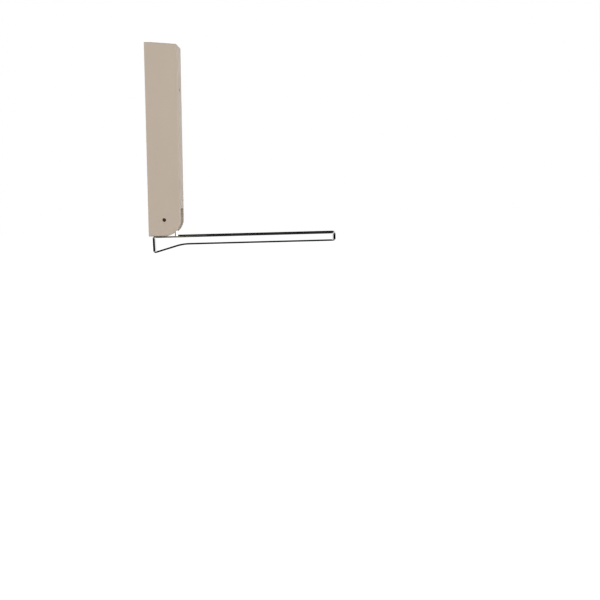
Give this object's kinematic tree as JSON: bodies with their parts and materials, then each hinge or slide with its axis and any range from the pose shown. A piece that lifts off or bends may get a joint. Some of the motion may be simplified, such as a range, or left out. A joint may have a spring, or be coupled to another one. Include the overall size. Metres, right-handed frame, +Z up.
{
  "type": "wall hook",
  "caption": "Slim wall hook: upright moulded housing on a screwed-on steel bracket, with a flat chromed arm that folds up against its front.",
  "frame": {"origin": "in the wall plane, midway between the two wall screw holes, on the hook's middle plane", "axes": "+X out of the wall along the open arm, +Y across the hook, +Z up"},
  "size_m": [0.1491, 0.021, 0.1636],
  "materials": {
    "housing_plastic": "warm beige, finely textured moulded plastic",
    "arm_chrome": "bright chrome plating on a smooth casting",
    "dark_steel": "dark oxidised steel",
    "bush_plastic": "natural acetal",
    "washer_plastic": "natural nylon",
    "spring_steel": "plain spring steel",
    "pad_rubber": "soft grey-brown rubber",
    "bracket_steel": "zinc-plated steel",
    "painted_screw": "painted to match the housing"
  },
  "bodies": {
    "mounting": {"housing": "housing_plastic", "pivot_pin": "dark_steel", "thrust_washer_near": "washer_plastic", "thrust_washer_far": "washer_plastic", "disc_spring": "spring_steel", "stop_pad_near": "pad_rubber", "stop_pad_far": "pad_rubber", "wall_bracket": "bracket_steel", "bracket_standoff": "bracket_steel", "fixing_screw": "painted_screw"},
    "arm": {"arm": "arm_chrome", "bush_near": "bush_plastic", "bush_far": "bush_plastic"}
  },
  "joints": [
    {"name": "arm_fold", "type": "hinge", "parent": "mounting", "child": "arm", "pos_m": [0.0126, 0, -0.07082], "axis": [0, -1, 0], "range_deg": [0, 88.5]}
  ]
}
